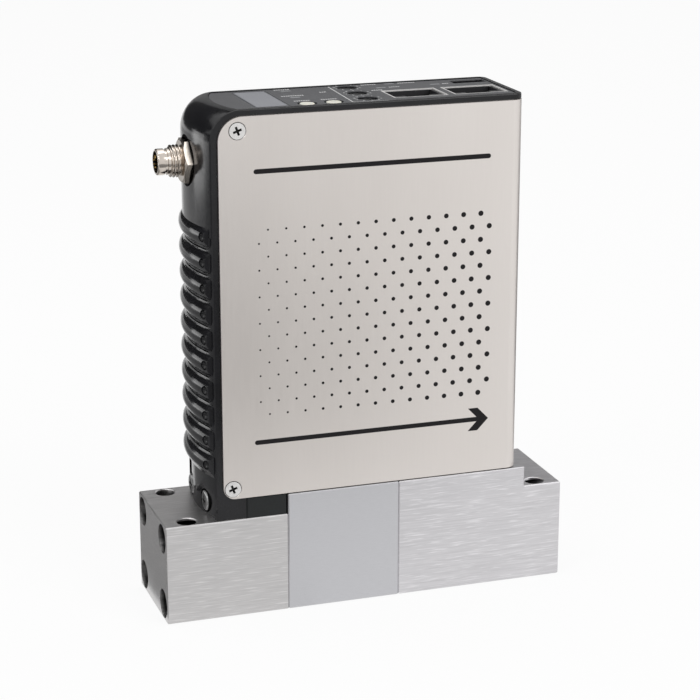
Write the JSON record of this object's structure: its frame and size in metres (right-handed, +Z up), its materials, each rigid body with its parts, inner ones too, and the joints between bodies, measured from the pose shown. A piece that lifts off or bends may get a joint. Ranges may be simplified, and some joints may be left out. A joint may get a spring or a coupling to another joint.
{
  "type": "mass flow controller",
  "caption": "Upright flow controller on a joined metal block base, with a bent sheet cover, a ribbed moulded end, a threaded side connector and a top panel of sockets, buttons and dials.",
  "frame": {"origin": "centre of the base blocks' bottom face", "axes": "+X along the gas flow, +Y to the back, +Z up"},
  "size_m": [0.105, 0.028, 0.1273],
  "materials": {
    "base_steel": "brushed",
    "cover_steel": "fine satin",
    "screw_steel": "bright",
    "housing_black": "glossy moulded",
    "bracket_black": "black anodised",
    "label_grey": "matt film",
    "display_grey": "tinted window",
    "button_cream": "moulded",
    "dial_black": "moulded",
    "light_clear": "frosted",
    "jack_metal": "plated sheet",
    "jack_black": "moulded",
    "contact_gold": "plated",
    "nickel": "nickel plated",
    "seal_black": "moulded",
    "seal_nickel": "ground ring",
    "board_green": "laminate",
    "chip_black": "moulded",
    "guide_white": "moulded",
    "sensor_steel": "turned",
    "coil_copper": "enamelled wire",
    "valve_iron": "plated iron"
  },
  "bodies": {
    "base": {"inlet_block": "base_steel", "centre_block": "base_steel", "outlet_block": "base_steel", "inlet_tie_screws": "screw_steel", "outlet_tie_screws": "screw_steel", "seam_seals": "seal_nickel", "housing": "housing_black", "foot_bracket": "bracket_black", "foot_screws": "screw_steel", "bracket_screws": "screw_steel", "cover": "cover_steel", "cover_screws": "screw_steel", "top_label": "label_grey", "display_window": "display_grey", "display_module": "chip_black", "button_switches": "chip_black", "dial_switches": "dial_black", "status_lights": "light_clear", "network_in_shield": "jack_metal", "network_in_insert": "jack_black", "network_out_shield": "jack_metal", "network_out_insert": "jack_black", "network_contacts": "contact_gold", "diagnostic_port": "jack_metal", "panel_board": "board_green", "network_board": "board_green", "board_spacers": "screw_steel", "main_board": "board_green", "board_chips": "chip_black", "board_header": "chip_black", "card_guide": "guide_white", "connector_shell": "nickel", "connector_nut": "nickel", "connector_insert": "jack_black", "connector_pins": "contact_gold", "connector_gasket": "seal_black", "flow_splitter": "sensor_steel", "sensor_base": "sensor_steel", "sensor_seals": "seal_nickel", "sensor_tube": "sensor_steel", "sensor_windings": "coil_copper", "sensor_can": "sensor_steel", "sensor_screws": "screw_steel", "valve_seat": "sensor_steel", "valve_base": "sensor_steel", "valve_gasket": "seal_nickel", "valve_screws": "screw_steel", "valve_spring": "sensor_steel", "valve_core": "valve_iron", "valve_spool": "guide_white", "valve_winding": "coil_copper", "valve_yoke": "valve_iron", "valve_nut": "screw_steel"},
    "zero_button": {"zero_button": "button_cream"},
    "select_button": {"select_button": "button_cream"},
    "address_dial_high": {"address_dial_high": "dial_black"},
    "address_dial_low": {"address_dial_low": "dial_black"},
    "rate_dial": {"rate_dial": "dial_black"},
    "valve_plunger": {"valve_plunger": "valve_iron", "valve_seal": "seal_black"}
  },
  "joints": [
    {"name": "zero_press", "type": "slide", "parent": "base", "child": "zero_button", "axis": [0, 0, -1], "range_m": [0, 0.0004], "stiffness_N_per_m": 2000, "springref_m": -0.0003},
    {"name": "select_press", "type": "slide", "parent": "base", "child": "select_button", "axis": [0, 0, -1], "range_m": [0, 0.0004], "stiffness_N_per_m": 2000, "springref_m": -0.0003},
    {"name": "address_dial_high_turn", "type": "hinge", "parent": "base", "child": "address_dial_high", "pos_m": [0.0019, 0.0089, 0.1245], "axis": [0, 0, 1], "continuous": true},
    {"name": "address_dial_low_turn", "type": "hinge", "parent": "base", "child": "address_dial_low", "pos_m": [0.0019, 0.0009, 0.1245], "axis": [0, 0, 1], "continuous": true},
    {"name": "rate_dial_turn", "type": "hinge", "parent": "base", "child": "rate_dial", "pos_m": [0.0019, -0.0071, 0.1245], "axis": [0, 0, 1], "continuous": true},
    {"name": "valve_lift", "type": "slide", "parent": "base", "child": "valve_plunger", "axis": [0, 0, 1], "range_m": [0, 0.00025], "stiffness_N_per_m": 2000, "springref_m": -0.001, "deforming": ["valve_spring"]}
  ]
}
